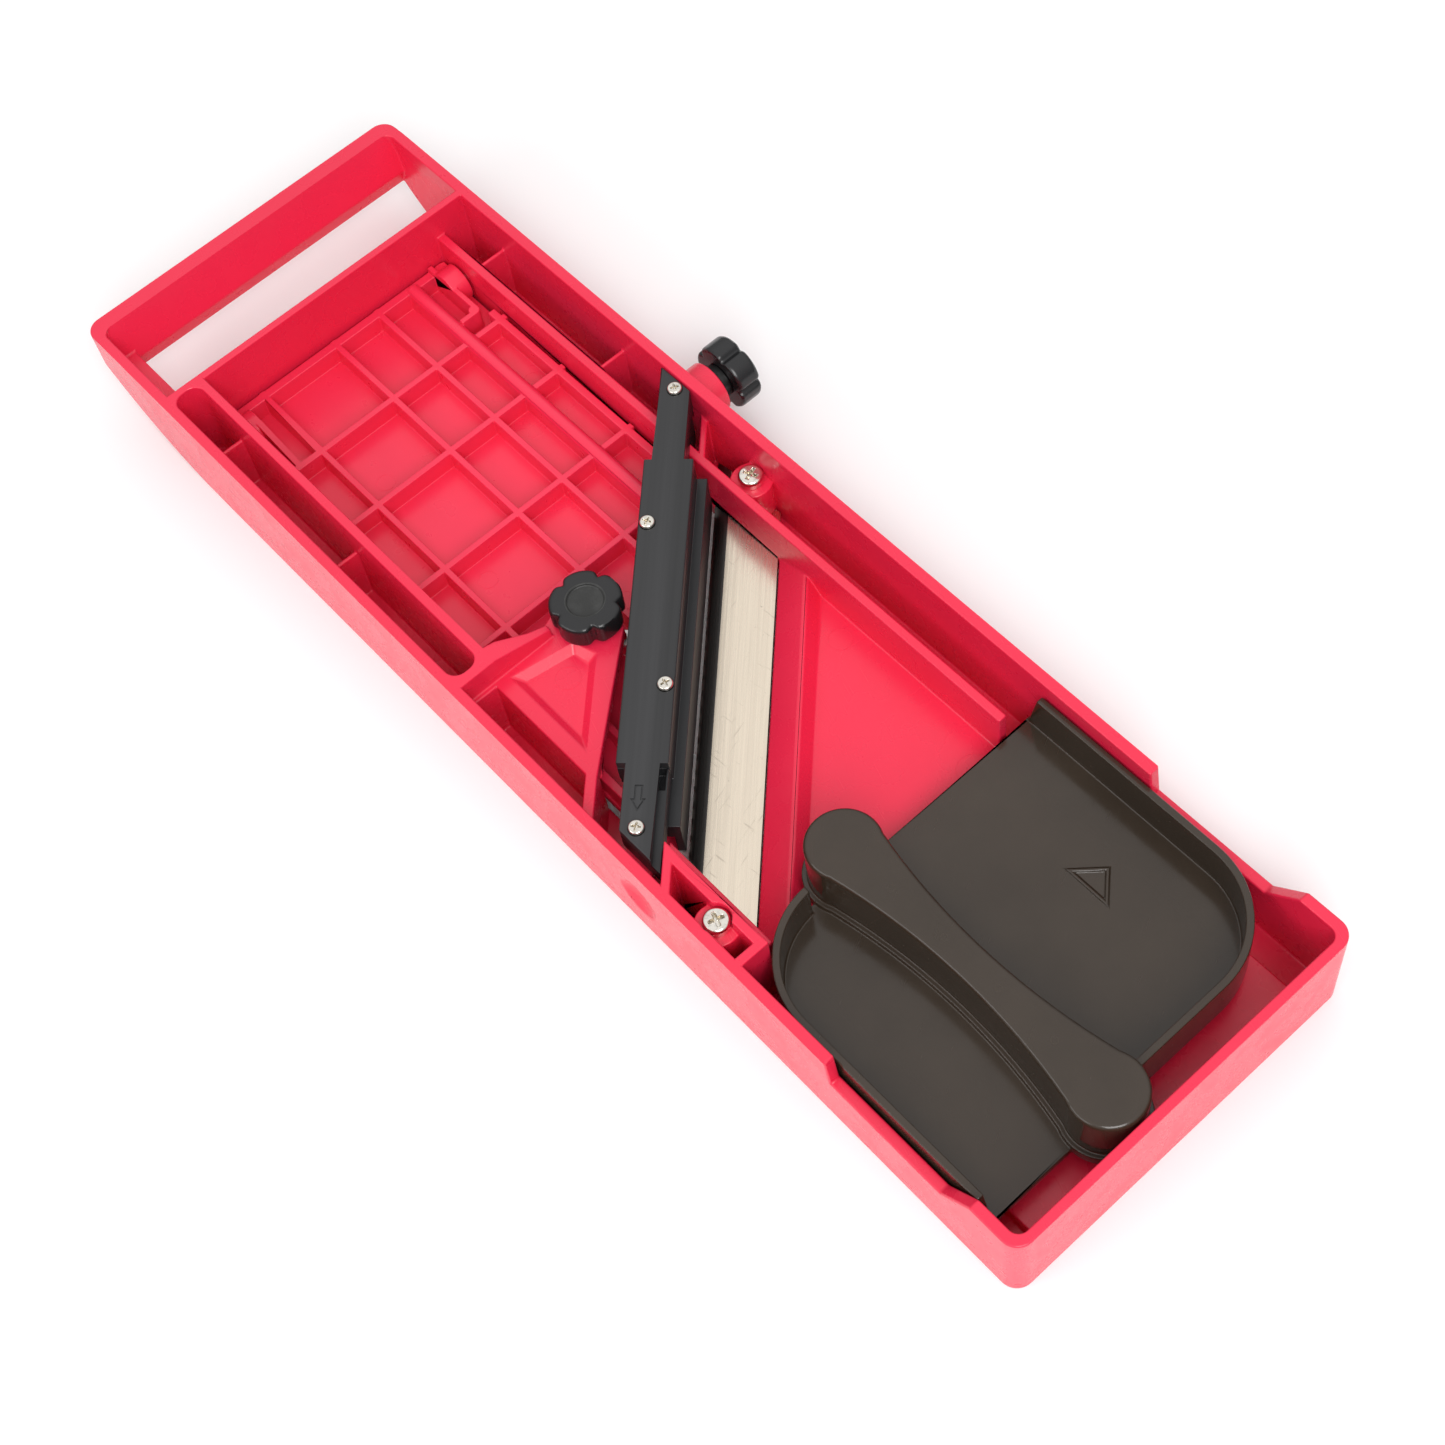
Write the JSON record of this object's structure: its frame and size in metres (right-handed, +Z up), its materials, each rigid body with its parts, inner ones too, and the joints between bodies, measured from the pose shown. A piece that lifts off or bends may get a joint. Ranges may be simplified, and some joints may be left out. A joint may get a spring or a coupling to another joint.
{
  "type": "mandoline slicer",
  "caption": "Flat hand slicer lying underside up: trough body with handle slot, ribbed infeed plate, diagonal blade, comb holder, adjusting knobs and a stowed hand guard.",
  "frame": {"origin": "on the table under the middle of the whole part's bounding box, with the slicer lying on its food side", "axes": "+X along the body from the handle slot to the guard's bay, +Y towards the wall with the comb lock knob, +Z up out of the hollow underside"},
  "size_m": [0.312, 0.1068, 0.0254],
  "materials": {
    "body_plastic": "glossy moulded plastic",
    "plate_plastic": "glossy moulded plastic",
    "holder_plastic": "satin black",
    "cover_plastic": "satin black",
    "knob_plastic": "fine textured crown, smooth sides",
    "guard_plastic": "smoke brown, slightly clear",
    "blade_steel": "ground and lightly scratched",
    "comb_steel": "ground",
    "screw_steel": "bright nickel plate",
    "stud_steel": "turned",
    "stud_black": "blackened",
    "clip_steel": "rolled sheet",
    "pin_steel": "drawn",
    "insert_brass": "turned"
  },
  "bodies": {
    "frame": {"body_frame": "body_plastic", "hinge_pins": "pin_steel", "main_blade": "blade_steel", "blade_screws": "screw_steel", "blade_inserts": "insert_brass", "height_bush": "insert_brass", "lock_bush": "insert_brass"},
    "plate": {"infeed_plate": "plate_plastic", "height_clip": "clip_steel", "clip_screws": "screw_steel"},
    "height_feed": {"thrust_washer": "insert_brass"},
    "height_turn": {"height_knob": "knob_plastic", "height_stud": "stud_steel"},
    "lock_feed": {"lock_pad": "stud_steel"},
    "lock_turn": {"lock_knob": "knob_plastic", "lock_stud": "stud_black"},
    "comb": {"comb_holder": "holder_plastic", "comb_cover": "cover_plastic", "comb_blade": "comb_steel", "comb_screws": "screw_steel"},
    "guard": {"hand_guard": "guard_plastic", "guard_pins": "pin_steel"}
  },
  "joints": [
    {"name": "plate_tilt", "type": "hinge", "parent": "frame", "child": "plate", "pos_m": [-0.1146, -0.0074, 0.0084], "axis": [0, -1, 0], "range_deg": [0, 1.76]},
    {"name": "height_slide", "type": "slide", "parent": "frame", "child": "height_feed", "axis": [0, 0, 1], "range_m": [0, 0.0032]},
    {"name": "height_knob_turn", "type": "hinge", "parent": "height_feed", "child": "height_turn", "pos_m": [-0.0103, -0.018, 0.015], "axis": [0, 0, 1], "range_deg": [0, 1440]},
    {"name": "lock_slide", "type": "slide", "parent": "frame", "child": "lock_feed", "axis": [0, 1, 0], "range_m": [0, 0.0016]},
    {"name": "lock_knob_turn", "type": "hinge", "parent": "lock_feed", "child": "lock_turn", "pos_m": [-0.0405, 0.04, 0.015], "axis": [0, 1, 0], "range_deg": [0, 720]},
    {"name": "comb_lift", "type": "slide", "parent": "frame", "child": "comb", "axis": [0, 0, 1], "range_m": [0, 0.03]},
    {"name": "guard_lift", "type": "slide", "parent": "frame", "child": "guard", "axis": [0, 0, 1], "range_m": [0, 0.03]}
  ],
  "couplings": [
    {"joint": "height_slide", "follows": "plate_tilt", "m_per_rad": 0.1043},
    {"joint": "height_knob_turn", "follows": "plate_tilt", "ratio": 819.15},
    {"joint": "lock_knob_turn", "follows": "lock_slide", "rad_per_m": 7853.9}
  ]
}
